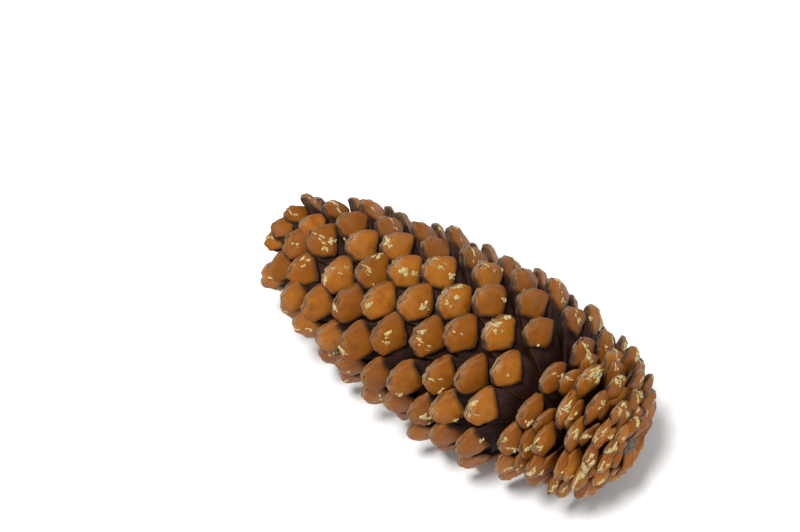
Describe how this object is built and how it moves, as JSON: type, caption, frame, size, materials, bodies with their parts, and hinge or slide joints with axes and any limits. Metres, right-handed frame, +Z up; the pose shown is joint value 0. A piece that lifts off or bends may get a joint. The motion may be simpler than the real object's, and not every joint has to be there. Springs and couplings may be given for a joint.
{
  "type": "sugar pine cone",
  "caption": "An opened sugar pine cone lying on its side: long stout woody body, broad orange-brown scales set in spirals, close-set base scales round a cut stalk scar",
  "frame": {"origin": "on the surface that the cone lies on, under the middle of its box", "axes": "+X runs along the cone from its tip end towards its stalk, +Z is up"},
  "size_m": [0.2906, 0.136, 0.1307],
  "materials": {
    "cone_scale": "satin"
  },
  "bodies": {
    "root": {"sugar_pine_cone": "cone_scale"}
  },
  "joints": []
}
